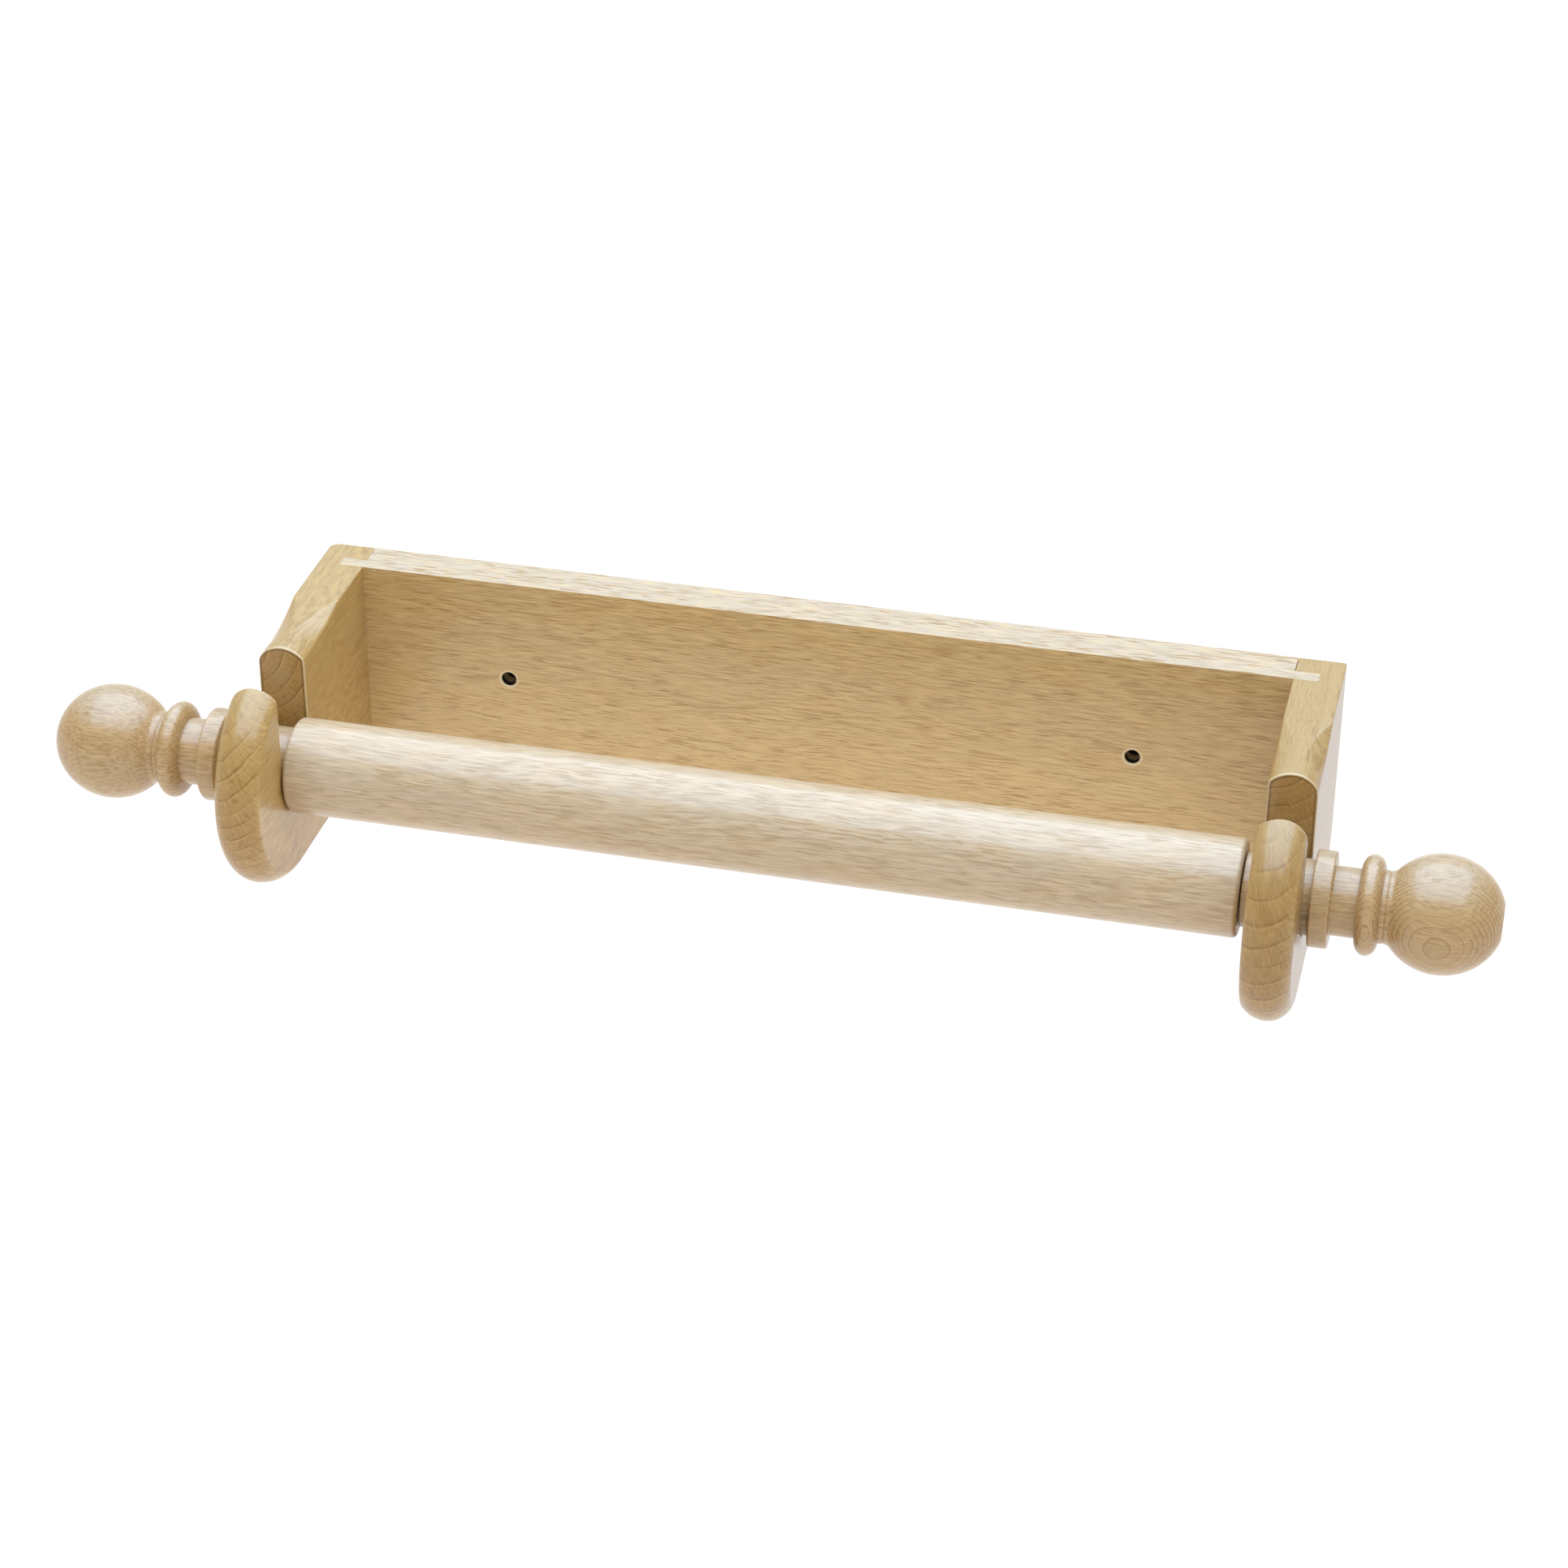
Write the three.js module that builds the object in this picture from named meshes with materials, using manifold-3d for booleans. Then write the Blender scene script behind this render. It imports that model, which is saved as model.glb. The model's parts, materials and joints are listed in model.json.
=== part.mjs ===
// Wall-mounted beech roll holder: a back board, two slotted side brackets and
// a turned spindle that lifts out of the slots and spins in them.
//
// Millimetres. +X runs along the spindle, -Y points from the wall into the
// room, +Z is up. The origin is the middle of the back board's rear face,
// which is the face that goes against the wall.

import * as THREE from 'three';
import { mergeVertices } from 'three/addons/utils/BufferGeometryUtils.js';
import Module from 'manifold-3d';

// ---- Driving dimensions ----------------------------------------------------

const INNER_WIDTH = 250; // between the two brackets' inner faces
const BRACKET_THICKNESS = 12.5;
const BOARD_THICKNESS = 11.5;
const HEIGHT = 60; // board and brackets, top face to underside
const FIT_GAP = 0.3; // left between pieces that touch on the real holder

// Bracket outline, seen from the side
const NOSE_RADIUS = 30.5;
const NOSE_FROM_WALL = 69;
const NOSE_CENTRE_Z = -HEIGHT / 2 + NOSE_RADIUS;
const REAR_CORNER_RADIUS = 12; // lower rear corner
const SLOT_WIDTH = 20;

// Rounded-over edge of the bracket, which stops short of the board
const OUTER_DROP = 4.5; // how far the outer edge lies below the crown
const INNER_DROP = 3.1; // the same for the inner edge
const ROUND_START_FROM_WALL = 30.5;
const ROUND_RUN_OUT = 24; // length over which the cut reaches its full depth
const CREASE_REACH = 18; // length over which its crease sweeps to the middle
const LEFT_REAR_ROUND = 3; // softened outer rear corner of the left bracket

// Barefaced tongue on each end of the board
const TONGUE_THICKNESS = 4;
const TONGUE_LENGTH = 6.5;

// Screw holes in the board
const SCREW_HOLE_DIAMETER = 4;
const SCREW_HOLE_FROM_MIDDLE = 85;
const SCREW_HOLE_Z = 0.8;

// Spindle
const SPINDLE_FROM_WALL = 68.5;
const SPINDLE_Z = 1.6;
const SPINDLE_SHIFT = -1.45; // it rests with its left shoulder at the bracket
const ROD_RADIUS = 12.5;
const ROD_LENGTH = 246.5;
const ROD_END_ROUND = 1.2;

// Turned end piece, measured from the rod's end face
const JOURNAL_RADIUS = 9.5;
const COLLAR_START = 17.3;
const COLLAR_END = 22.2;
const COLLAR_RADIUS = 12.2;
const NECK_RADIUS = 8.7;
const BEAD_CENTRE = 31.3;
const BEAD_HALF_WIDTH = 2.9;
const BEAD_RADIUS = 12.6;
const THROAT_RADIUS = 9.2;
const BALL_CENTRE = 49;
const BALL_RADIUS = 15;
const BALL_STRETCH = 31 / 30; // it is a little longer along the axis
const BALL_FLAT_RADIUS = 4.6; // parting-off flat at the tip
const LEFT_JOURNAL_EXTRA = 1.3; // the left journal is that much longer

// Hidden dowel pegs that join the rod to its end pieces
const PEG_RADIUS = 4;
const PEG_IN_ROD = 24;
const PEG_IN_FINIAL = 20;
const PEG_CHAMFER = 0.8;
const BORE_RADIUS = 4.35;
const BORE_EXTRA_DEPTH = 0.6;

// Facet counts
const TURNED_SIDES = 36;
const PEG_SIDES = 20;
const BRACKET_LAYERS = 10;
const NOSE_STEPS = 18;
const RUN_OUT_STEPS = 7;
const CORNER_STEPS = 5;
const SLOT_STEPS = 14;
const BALL_STEPS = 16;
const BEAD_STEPS = 6;
const ROD_END_STEPS = 3;

const MERGE_DISTANCE = 1e-5; // vertices closer than this are one vertex

const ROLLER_AXIS = new THREE.Vector3(0, -SPINDLE_FROM_WALL, SPINDLE_Z);
const TOP_Z = HEIGHT / 2;
const BOTTOM_Z = -HEIGHT / 2;

// ---- Solids: joining and cutting -------------------------------------------

const wasm = await Module();
wasm.setup();

function solidFrom(geometry) {
  const bare = geometry.clone();
  bare.deleteAttribute('normal');
  bare.deleteAttribute('uv');
  const merged = mergeVertices(bare, MERGE_DISTANCE);
  const mesh = new wasm.Mesh({
    numProp: 3,
    vertProperties: new Float32Array(merged.attributes.position.array),
    triVerts: new Uint32Array(merged.index.array),
  });
  return new wasm.Manifold(mesh);
}

function geometryFrom(solid) {
  const mesh = solid.getMesh();
  const geometry = new THREE.BufferGeometry();
  const positions = new THREE.BufferAttribute(mesh.vertProperties, mesh.numProp);
  geometry.setAttribute('position', positions);
  geometry.setIndex(new THREE.BufferAttribute(mesh.triVerts, 1));
  geometry.computeVertexNormals();
  return geometry;
}

function cut(geometry, cutters) {
  let solid = solidFrom(geometry);
  for (const cutter of cutters) {
    solid = solid.subtract(solidFrom(cutter));
  }
  return geometryFrom(solid);
}

function box(from, to) {
  const size = to.clone().sub(from);
  const middle = from.clone().add(to).multiplyScalar(0.5);
  return new THREE.BoxGeometry(size.x, size.y, size.z).translate(middle.x, middle.y, middle.z);
}

// ---- Bracket ---------------------------------------------------------------

// Depth of the round-over at a point `run` past its start, `fromEdge` in from
// the side face, where the edge drops by `drop` in the end. Its section starts
// as a flat chamfer from the crease to the side and turns into an arc by the
// end of the run-out.
function roundOverDepth(run, fromEdge, drop) {
  if (run <= 0) {
    return 0;
  }
  const progress = Math.min(run / ROUND_RUN_OUT, 1);
  const edgeDrop = drop * (1 - (1 - progress) ** 2);
  const half = BRACKET_THICKNESS / 2;
  const spreadOut = 1 - Math.exp(-progress * ROUND_RUN_OUT / CREASE_REACH);
  const crease = half * spreadOut / (1 - Math.exp(-ROUND_RUN_OUT / CREASE_REACH));
  const chamfer = Math.max(0, 1 - fromEdge / crease);
  const arcRadius = (half ** 2 + drop ** 2) / (2 * drop);
  const arcDrop = arcRadius - Math.sqrt(arcRadius ** 2 - (chamfer * half) ** 2);
  return edgeDrop * THREE.MathUtils.lerp(chamfer, arcDrop / drop, progress ** 2);
}

// How far forward of the wall a softened outer rear corner puts the bracket's
// rear face, `fromOuter` in from the outer face.
function rearRoundDepth(radius, fromOuter) {
  const along = Math.max(0, radius - fromOuter);
  return radius - Math.sqrt(radius ** 2 - along ** 2);
}

// The side view's outline, anticlockwise in (y, z) seen from +X: each point
// has its outward direction and how far past the round-over's start it lies.
function bracketOutline() {
  const points = [];
  const runAt = (y) => -y - ROUND_START_FROM_WALL;
  const add = (y, z, angle, run) => {
    points.push({ y, z, outY: Math.cos(angle), outZ: Math.sin(angle), run });
  };
  const noseTopAngle = Math.PI - Math.asin((TOP_Z - NOSE_CENTRE_Z) / NOSE_RADIUS);

  add(0, BOTTOM_Z + REAR_CORNER_RADIUS, 0, 0);
  add(0, TOP_Z, Math.PI / 2, 0);
  for (let i = 0; i <= RUN_OUT_STEPS; i++) {
    const y = -ROUND_START_FROM_WALL - (ROUND_RUN_OUT * i) / RUN_OUT_STEPS;
    add(y, TOP_Z, Math.PI / 2, runAt(y));
  }
  for (let i = 0; i <= NOSE_STEPS; i++) {
    const angle = noseTopAngle + ((1.5 * Math.PI - noseTopAngle) * i) / NOSE_STEPS;
    const y = -NOSE_FROM_WALL + NOSE_RADIUS * Math.cos(angle);
    const z = NOSE_CENTRE_Z + NOSE_RADIUS * Math.sin(angle);
    add(y, z, angle, runAt(y));
  }
  for (let i = RUN_OUT_STEPS; i >= 0; i--) {
    const y = -ROUND_START_FROM_WALL - (ROUND_RUN_OUT * i) / RUN_OUT_STEPS;
    add(y, BOTTOM_Z, 1.5 * Math.PI, runAt(y));
  }
  for (let i = 0; i < CORNER_STEPS; i++) {
    const angle = (1.5 + (0.5 * i) / CORNER_STEPS) * Math.PI;
    const y = -REAR_CORNER_RADIUS + REAR_CORNER_RADIUS * Math.cos(angle);
    const z = BOTTOM_Z + REAR_CORNER_RADIUS + REAR_CORNER_RADIUS * Math.sin(angle);
    add(y, z, angle, 0);
  }
  return points;
}

// The bracket's blank: one copy of the outline at each layer through the
// thickness, drawn in by the round-over, skinned together and capped.
function bracketBlank(side) {
  const rearRound = side < 0 ? LEFT_REAR_ROUND : 0;
  const outline = bracketOutline();
  const count = outline.length;
  const positions = [];
  const triangles = [];
  for (let layer = 0; layer <= BRACKET_LAYERS; layer++) {
    const across = -Math.cos((Math.PI * layer) / BRACKET_LAYERS);
    const x = (across * BRACKET_THICKNESS) / 2;
    const fromEdge = (BRACKET_THICKNESS / 2) * (1 - Math.abs(across));
    const fromOuter = (BRACKET_THICKNESS / 2) * (1 - side * across);
    const rearLimit = -rearRoundDepth(rearRound, fromOuter);
    const drop = side * across > 0 ? OUTER_DROP : INNER_DROP;
    for (const point of outline) {
      const depth = roundOverDepth(point.run, fromEdge, drop);
      const y = Math.min(point.y - point.outY * depth, rearLimit);
      positions.push(x, y, point.z - point.outZ * depth);
    }
  }
  for (let layer = 0; layer < BRACKET_LAYERS; layer++) {
    for (let i = 0; i < count; i++) {
      const a = layer * count + i;
      const b = layer * count + ((i + 1) % count);
      triangles.push(a, b, b + count, a, b + count, a + count);
    }
  }
  const lastLayer = BRACKET_LAYERS * count;
  const face = [];
  for (let i = 0; i < count; i++) {
    face.push(new THREE.Vector2(positions[3 * i + 1], positions[3 * i + 2]));
  }
  for (const [a, b, c] of THREE.ShapeUtils.triangulateShape(face, [])) {
    triangles.push(c, b, a);
    triangles.push(lastLayer + a, lastLayer + b, lastLayer + c);
  }
  const geometry = new THREE.BufferGeometry();
  geometry.setAttribute('position', new THREE.Float32BufferAttribute(positions, 3));
  geometry.setIndex(triangles);
  return geometry;
}

// U-shaped cutter, open at the top, for the spindle's journal.
function slotCutter() {
  const radius = SLOT_WIDTH / 2;
  const shape = new THREE.Shape();
  shape.moveTo(-SPINDLE_FROM_WALL + radius, HEIGHT);
  shape.lineTo(-SPINDLE_FROM_WALL - radius, HEIGHT);
  shape.lineTo(-SPINDLE_FROM_WALL - radius, SPINDLE_Z);
  shape.absarc(-SPINDLE_FROM_WALL, SPINDLE_Z, radius, Math.PI, 2 * Math.PI, false);
  const geometry = new THREE.ExtrudeGeometry(shape, {
    depth: 2 * BRACKET_THICKNESS,
    bevelEnabled: false,
    curveSegments: SLOT_STEPS,
  });
  // Extruded along +Z with (x, y) holding (y, z): turn it to lie along X.
  const turn = new THREE.Matrix4().makeBasis(
    new THREE.Vector3(0, 1, 0),
    new THREE.Vector3(0, 0, 1),
    new THREE.Vector3(1, 0, 0),
  );
  return geometry.applyMatrix4(turn).translate(-BRACKET_THICKNESS, 0, 0);
}

// Full-height groove in the inner face, which houses the board's tongue.
function grooveCutter(side) {
  const inner = (-side * BRACKET_THICKNESS) / 2;
  const floor = inner + side * (TONGUE_LENGTH + FIT_GAP);
  const mouth = inner - side * BRACKET_THICKNESS;
  const front = -BOARD_THICKNESS - FIT_GAP;
  const rear = -BOARD_THICKNESS + TONGUE_THICKNESS + FIT_GAP;
  return box(
    new THREE.Vector3(Math.min(floor, mouth), front, -HEIGHT),
    new THREE.Vector3(Math.max(floor, mouth), rear, HEIGHT),
  );
}

function bracketGeometry(side) {
  return cut(bracketBlank(side), [slotCutter(), grooveCutter(side)]);
}

// ---- Back board ------------------------------------------------------------

function backBoardGeometry() {
  const shoulder = INNER_WIDTH / 2 - FIT_GAP;
  const tongueTip = INNER_WIDTH / 2 + TONGUE_LENGTH;
  const shape = new THREE.Shape();
  shape.moveTo(-tongueTip, -BOARD_THICKNESS);
  shape.lineTo(tongueTip, -BOARD_THICKNESS);
  shape.lineTo(tongueTip, -BOARD_THICKNESS + TONGUE_THICKNESS);
  shape.lineTo(shoulder, -BOARD_THICKNESS + TONGUE_THICKNESS);
  shape.lineTo(shoulder, 0);
  shape.lineTo(-shoulder, 0);
  shape.lineTo(-shoulder, -BOARD_THICKNESS + TONGUE_THICKNESS);
  shape.lineTo(-tongueTip, -BOARD_THICKNESS + TONGUE_THICKNESS);
  const board = new THREE.ExtrudeGeometry(shape, { depth: HEIGHT, bevelEnabled: false });
  board.translate(0, 0, BOTTOM_Z);
  const holes = [-1, 1].map((side) => {
    const radius = SCREW_HOLE_DIAMETER / 2;
    const hole = new THREE.CylinderGeometry(radius, radius, 4 * BOARD_THICKNESS, PEG_SIDES);
    return hole.translate(side * SCREW_HOLE_FROM_MIDDLE, 0, SCREW_HOLE_Z);
  });
  return cut(board, holes);
}

// ---- Turned pieces ---------------------------------------------------------

// A lathe profile is a list of [radius, distance along the axis] pairs. The
// turned piece lies along +X.
function turned(profile, sides) {
  const points = profile.map(([radius, along]) => new THREE.Vector2(radius, along));
  return new THREE.LatheGeometry(points, sides).rotateZ(-Math.PI / 2);
}

// Points on an arc of a lathe profile, from one angle to another, where angle
// 0 points away from the axis and a quarter turn points along it.
function arc(centreRadius, centreAlong, radius, from, to, steps) {
  const points = [];
  for (let i = 0; i <= steps; i++) {
    const angle = from + ((to - from) * i) / steps;
    const outward = centreRadius + radius * Math.cos(angle);
    points.push([outward, centreAlong + radius * Math.sin(angle)]);
  }
  return points;
}

function rodGeometry() {
  const half = ROD_LENGTH / 2;
  const boreEnd = half - PEG_IN_ROD - BORE_EXTRA_DEPTH;
  const shoulderRadius = ROD_RADIUS - ROD_END_ROUND;
  const shoulderAlong = half - ROD_END_ROUND;
  const quarter = Math.PI / 2;
  const profile = [
    [0, -boreEnd],
    [BORE_RADIUS, -boreEnd],
    [BORE_RADIUS, -half],
    ...arc(shoulderRadius, -shoulderAlong, ROD_END_ROUND, -quarter, 0, ROD_END_STEPS),
    ...arc(shoulderRadius, shoulderAlong, ROD_END_ROUND, 0, quarter, ROD_END_STEPS),
    [BORE_RADIUS, half],
    [BORE_RADIUS, boreEnd],
    [0, boreEnd],
  ];
  return turned(profile, TURNED_SIDES);
}

function finialGeometry(journalExtra) {
  const boreEnd = PEG_IN_FINIAL + BORE_EXTRA_DEPTH;
  const beadHeight = BEAD_RADIUS - NECK_RADIUS;
  const bead = [];
  for (let i = 0; i <= BEAD_STEPS; i++) {
    const angle = -Math.PI / 2 + (Math.PI * i) / BEAD_STEPS;
    const base = NECK_RADIUS + ((THROAT_RADIUS - NECK_RADIUS) * i) / BEAD_STEPS;
    const rise = (NECK_RADIUS + beadHeight - base) * Math.cos(angle);
    bead.push([base + rise, BEAD_CENTRE + BEAD_HALF_WIDTH * Math.sin(angle)]);
  }
  const ballStart = -Math.acos(THROAT_RADIUS / BALL_RADIUS);
  const ballEnd = Math.acos(BALL_FLAT_RADIUS / BALL_RADIUS);
  const sphere = arc(0, 0, BALL_RADIUS, ballStart, ballEnd, BALL_STEPS);
  const ball = sphere.map(([radius, along]) => [radius, BALL_CENTRE + BALL_STRETCH * along]);
  const pastJournal = [
    [JOURNAL_RADIUS, COLLAR_START],
    [COLLAR_RADIUS, COLLAR_START],
    [COLLAR_RADIUS, COLLAR_END],
    [NECK_RADIUS, COLLAR_END],
    ...bead,
    ...ball,
    [0, ball.at(-1)[1]],
  ];
  const profile = [
    [0, boreEnd],
    [BORE_RADIUS, boreEnd],
    [BORE_RADIUS, FIT_GAP],
    [JOURNAL_RADIUS, FIT_GAP],
    ...pastJournal.map(([radius, along]) => [radius, along + journalExtra]),
  ];
  return turned(profile, TURNED_SIDES);
}

function pegGeometry() {
  const profile = [
    [0, -PEG_IN_ROD],
    [PEG_RADIUS - PEG_CHAMFER, -PEG_IN_ROD],
    [PEG_RADIUS, -PEG_IN_ROD + PEG_CHAMFER],
    [PEG_RADIUS, PEG_IN_FINIAL - PEG_CHAMFER],
    [PEG_RADIUS - PEG_CHAMFER, PEG_IN_FINIAL],
    [0, PEG_IN_FINIAL],
  ];
  return turned(profile, PEG_SIDES);
}

// ---- Assembly --------------------------------------------------------------

function beech(color, roughness) {
  return new THREE.MeshStandardMaterial({ color, roughness, metalness: 0 });
}

function piece(name, geometry, material) {
  const mesh = new THREE.Mesh(geometry, material);
  mesh.name = name;
  return mesh;
}

const holder = new THREE.Group();
holder.add(piece('back_board', backBoardGeometry(), beech(0xc9a878, 0.5)));

const spindle = new THREE.Group();
spindle.position.copy(ROLLER_AXIS).setX(SPINDLE_SHIFT);
spindle.add(piece('roller_rod', rodGeometry(), beech(0xdcc4a4, 0.42)));
holder.add(spindle);

for (const [sideName, side] of [['left', -1], ['right', 1]]) {
  const bracket = piece(`${sideName}_bracket`, bracketGeometry(side), beech(0xd6b98a, 0.5));
  bracket.position.x = (side * (INNER_WIDTH + BRACKET_THICKNESS)) / 2;
  holder.add(bracket);

  const end = new THREE.Group();
  end.position.x = (side * ROD_LENGTH) / 2;
  end.rotation.z = side < 0 ? Math.PI : 0;
  const finial = finialGeometry(side < 0 ? LEFT_JOURNAL_EXTRA : 0);
  end.add(piece(`${sideName}_finial`, finial, beech(0xd8bd93, 0.42)));
  end.add(piece(`${sideName}_peg`, pegGeometry(), beech(0xcdb083, 0.6)));
  spindle.add(end);
}

export default holder;
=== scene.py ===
"""Looks of a wall-mounted beech roll holder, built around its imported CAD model.

Shapes are worked out in millimetres in the CAD model's own frame: +X along the
spindle, -Y from the wall into the room, +Z up. They become metres when a mesh
is made. Every piece is solid beech with its own grain.
"""

import json
import math
from types import SimpleNamespace

import bmesh
import bpy
from mathutils import Matrix, Vector


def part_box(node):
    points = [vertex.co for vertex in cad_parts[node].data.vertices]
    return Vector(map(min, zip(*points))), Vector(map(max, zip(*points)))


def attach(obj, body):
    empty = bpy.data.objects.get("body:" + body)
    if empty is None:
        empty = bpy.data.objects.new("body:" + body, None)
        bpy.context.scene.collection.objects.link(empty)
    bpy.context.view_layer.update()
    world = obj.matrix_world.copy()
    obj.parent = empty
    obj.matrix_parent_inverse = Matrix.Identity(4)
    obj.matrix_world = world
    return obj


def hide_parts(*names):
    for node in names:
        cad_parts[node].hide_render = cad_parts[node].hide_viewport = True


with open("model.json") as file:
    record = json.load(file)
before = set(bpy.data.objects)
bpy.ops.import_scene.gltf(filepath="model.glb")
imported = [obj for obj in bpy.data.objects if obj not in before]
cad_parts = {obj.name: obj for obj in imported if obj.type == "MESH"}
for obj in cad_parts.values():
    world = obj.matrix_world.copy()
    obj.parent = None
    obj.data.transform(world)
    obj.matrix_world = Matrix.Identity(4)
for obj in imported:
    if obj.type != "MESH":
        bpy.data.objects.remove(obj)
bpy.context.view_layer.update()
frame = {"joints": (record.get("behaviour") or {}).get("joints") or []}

MM = 0.001  # a millimetre in metres


def box_mm(node):
    """Lowest and highest corner of a CAD node, in millimetres."""
    low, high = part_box(node)
    return low / MM, high / MM


def joint_place_mm(name):
    """The point that a joint turns about, in millimetres."""
    joint = next(joint for joint in frame["joints"] if joint["name"] == name)
    return Vector(joint["pos_m"]) / MM


# ---- Sizes, from the frame where it holds them ------------------------------

BOARD_LOW, BOARD_HIGH = box_mm("back_board")
BRACKET_LOW, BRACKET_HIGH = box_mm("right_bracket")
ROD_LOW, ROD_HIGH = box_mm("roller_rod")

TOP = BOARD_HIGH.z
BOTTOM = BOARD_LOW.z
BOARD_FRONT = BOARD_LOW.y
INNER_HALF_WIDTH = BRACKET_LOW.x
BRACKET_HALF = (BRACKET_HIGH.x - BRACKET_LOW.x) / 2
BRACKET_MIDDLE = BRACKET_LOW.x + BRACKET_HALF

# Bracket outline
NOSE_RADIUS = 30.5
NOSE_Y = BRACKET_LOW.y + NOSE_RADIUS
NOSE_Z = BOTTOM + NOSE_RADIUS
REAR_CORNER_RADIUS = 12
SLOT_RADIUS = 10
OUTER_DROP = 4.5
INNER_DROP = 3.1
ROUND_START_Y = -30.5
ROUND_RUN_OUT = 24
OUTER_CREASE_REACH = 18
LEFT_INNER_CREASE_REACH = 16
RIGHT_INNER_CREASE_REACH = 18
LEFT_REAR_ROUND = 3
ARRIS = 0.5  # radius of the sanded edges
JOINT_GAP = 0.03  # left open at the glued joints, so that they show as lines
CUT_OVERRUN = 1  # how far cutters reach out of what they cut

# How far the points of the outline's straight runs stay clear of where it changes
REAR_CORNER_CLEARANCE = 4
ROUND_START_CLEARANCE = 0.4
SLOT_TOP_CLEARANCE = 2
SLOT_BOTTOM_CLEARANCE = 1
NOSE_CLEARANCE = 1.5
REAR_ROUND_CLEARANCE = 3

# Barefaced tongue and screw holes of the board
TONGUE_THICKNESS = 4
TONGUE_LENGTH = 6.5
TONGUE_ARRIS = 0.01
BOARD_ARRIS = 0.35
HOLE_RADIUS = 2
HOLE_FROM_MIDDLE = 85
HOLE_Z = 0.8
HOLE_MOUTH = 0.3  # width and depth of the eased edge round a hole

# Spindle
AXIS_Y = joint_place_mm("roller_spin").y
AXIS_Z = joint_place_mm("roller_spin").z
ROD_RADIUS = (ROD_HIGH.z - ROD_LOW.z) / 2
ROD_END_ROUND = 1.2
ROD_END_PLAIN = 6  # kept without cross-sections next to a rounded end
BORE_RADIUS = 4.35
BORE_IN_ROD = 24.6
BORE_IN_FINIAL = 20.6
SHOULDER_GAP = 0.3

# Turned end piece, measured outward from the rod's end face
JOURNAL_RADIUS = 9.5
JOURNAL_EASE = 0.4
LEFT_JOURNAL_EXTRA = 1.3
COLLAR_START = 17.3
COLLAR_END = 22.2
COLLAR_RADIUS = 12.2
COLLAR_EASE = 0.6
NECK_RADIUS = 8.7
NECK_EASE = 0.5
BEAD_CENTRE = 31.3
BEAD_HALF_WIDTH = 2.9
BEAD_RADIUS = 12.6
BEAD_TURN = 84  # degrees of its oval section to each side of the crown
THROAT_RADIUS = 9.2
THROAT_START = BEAD_CENTRE + BEAD_HALF_WIDTH + 0.2
THROAT_END_CLEARANCE = 0.3
GROOVE_HALF_WIDTH = 0.35
GROOVE_DEPTH = 0.3
BALL_CENTRE = 49
BALL_RADIUS = 15
BALL_STRETCH = 31 / 30
BALL_FLAT_RADIUS = 4.6
BALL_FLAT_EASE = 0.4

# Hidden dowel pegs
PEG_RADIUS = 4
PEG_IN_ROD = 24
PEG_IN_FINIAL = 20
PEG_CHAMFER = 1.2
PEG_FLUTES = 18
PEG_FLUTE_DEPTH = 0.35

# Sides of the round shapes
ROD_SIDES = 128
FINIAL_SIDES = 112
HOLE_SIDES = 48
SIDES_PER_FLUTE = 8


# ---- Making meshes ----------------------------------------------------------


def fillet(corner, before, after, radius, steps=4):
    """Points of an arc in a corner, between the lines to the points before and after it."""
    corner = Vector(corner)
    towards_before = (Vector(before) - corner).normalized()
    towards_after = (Vector(after) - corner).normalized()
    half = towards_before.angle(towards_after) / 2
    centre = corner + (towards_before + towards_after).normalized() * (radius / math.sin(half))
    reach = radius / math.tan(half)
    start = (corner + towards_before * reach - centre).normalized()
    end = (corner + towards_after * reach - centre).normalized()
    return [centre + radius * start.slerp(end, i / steps) for i in range(steps + 1)]


def arc(centre, radius, start, end, steps):
    """Points on a circle from one angle to another, in degrees."""
    points = []
    for i in range(steps + 1):
        angle = math.radians(start + (end - start) * i / steps)
        points.append(Vector(centre) + radius * Vector((math.cos(angle), math.sin(angle))))
    return points


def spread(start, end, steps):
    """Evenly spaced numbers from start to end."""
    return [start + (end - start) * i / steps for i in range(steps + 1)]


def mesh_object(name, vertices, faces):
    """A smooth-shaded mesh from vertices in millimetres."""
    mesh = bpy.data.meshes.new(name)
    mesh.from_pydata([Vector(v) * MM for v in vertices], [], faces)
    piece = bpy.data.objects.new(name, mesh)
    bpy.context.scene.collection.objects.link(piece)
    tidy_normals(piece)
    return piece


def tidy_normals(piece):
    """Makes every face point outward, and marks them smooth."""
    edit = bmesh.new()
    edit.from_mesh(piece.data)
    bmesh.ops.recalc_face_normals(edit, faces=edit.faces)
    for face in edit.faces:
        face.smooth = True
    edit.to_mesh(piece.data)
    edit.free()


def apply_modifiers(piece):
    """Replaces the piece's mesh by what its modifiers make of it."""
    bpy.context.view_layer.update()
    evaluated = piece.evaluated_get(bpy.context.evaluated_depsgraph_get())
    finished = bpy.data.meshes.new_from_object(evaluated)
    piece.modifiers.clear()
    piece.data = finished


def combine(piece, operation, others):
    """Adds other objects' shapes to a piece or cuts them out of it, and removes them."""
    for other in others:
        boolean = piece.modifiers.new("combine", "BOOLEAN")
        boolean.operation = operation
        boolean.solver = "EXACT"
        boolean.object = other
    apply_modifiers(piece)
    for other in others:
        bpy.data.objects.remove(other)


def keep_flats_flat(piece, sharp_degrees=50):
    """Shades flat faces flat up to their eased edges, with hard lines only at real corners."""
    piece.data.set_sharp_from_angle(angle=math.radians(sharp_degrees))
    weighted = piece.modifiers.new("flats", "WEIGHTED_NORMAL")
    weighted.keep_sharp = True
    weighted.weight = 100
    apply_modifiers(piece)


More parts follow.
